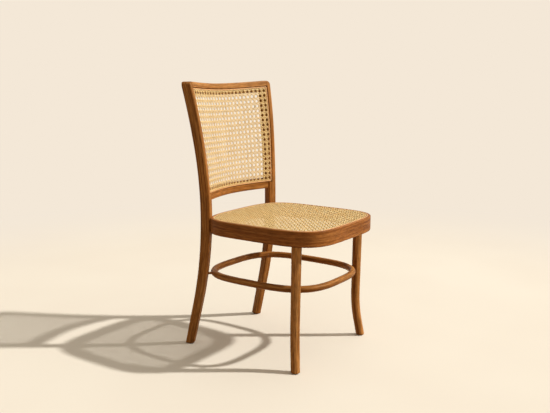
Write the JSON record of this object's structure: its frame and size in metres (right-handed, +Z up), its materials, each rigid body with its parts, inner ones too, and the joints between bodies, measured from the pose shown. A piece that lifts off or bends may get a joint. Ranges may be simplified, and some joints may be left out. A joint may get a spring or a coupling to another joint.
{
  "type": "armless bentwood dining chair with cane seat and back",
  "caption": "Armless bentwood dining chair: squared bowed back and rounded-square seat ring, both filled with open octagonal cane, on round front legs tied by a bent stretcher ring.",
  "frame": {"origin": "on the floor under the middle of the chair's bounding box", "axes": "+Z up, +X towards the chair's right side as seen from in front, +Y towards its back; the sitter faces -Y"},
  "size_m": [0.473, 0.5643, 0.9159],
  "materials": {
    "oiled_beech": "oiled satin",
    "apron_beech": "stained satin",
    "pale_beech": "unfinished",
    "cane": "natural woven rattan cane",
    "reed": "natural rattan reed",
    "steel": "zinc plated",
    "glide_plastic": "matte"
  },
  "bodies": {
    "root": {"rear_leg_left": "oiled_beech", "rear_leg_right": "oiled_beech", "low_rail": "oiled_beech", "top_rail": "oiled_beech", "low_rail_dowel_left_upper": "pale_beech", "low_rail_dowel_left_lower": "pale_beech", "top_rail_dowel_left_front": "pale_beech", "top_rail_dowel_left_back": "pale_beech", "low_rail_dowel_right_upper": "pale_beech", "low_rail_dowel_right_lower": "pale_beech", "top_rail_dowel_right_front": "pale_beech", "top_rail_dowel_right_back": "pale_beech", "back_spline_left": "reed", "back_spline_right": "reed", "back_spline_top": "reed", "back_spline_low": "reed", "back_cane_panel": "cane", "seat_ring": "apron_beech", "seat_cane_panel": "cane", "seat_spline": "reed", "front_leg_left": "oiled_beech", "front_leg_right": "oiled_beech", "corner_block_left": "pale_beech", "block_screw_left_front": "steel", "block_screw_left_side": "steel", "tenon_screw_left": "steel", "corner_block_right": "pale_beech", "block_screw_right_front": "steel", "block_screw_right_side": "steel", "tenon_screw_right": "steel", "rear_bolt_left_upper": "steel", "bolt_washer_left_upper": "steel", "insert_nut_left_upper": "steel", "rear_bolt_left_lower": "steel", "bolt_washer_left_lower": "steel", "insert_nut_left_lower": "steel", "rear_bolt_right_upper": "steel", "bolt_washer_right_upper": "steel", "insert_nut_right_upper": "steel", "rear_bolt_right_lower": "steel", "bolt_washer_right_lower": "steel", "insert_nut_right_lower": "steel", "stretcher_ring": "oiled_beech", "stretcher_spacer_front_left": "pale_beech", "stretcher_screw_front_left": "steel", "stretcher_spacer_front_right": "pale_beech", "stretcher_screw_front_right": "steel", "stretcher_spacer_rear_left": "pale_beech", "stretcher_screw_rear_left": "steel", "stretcher_spacer_rear_right": "pale_beech", "stretcher_screw_rear_right": "steel", "glide_front_left": "glide_plastic", "glide_front_right": "glide_plastic", "glide_rear_left": "glide_plastic", "glide_rear_right": "glide_plastic"}
  },
  "joints": []
}
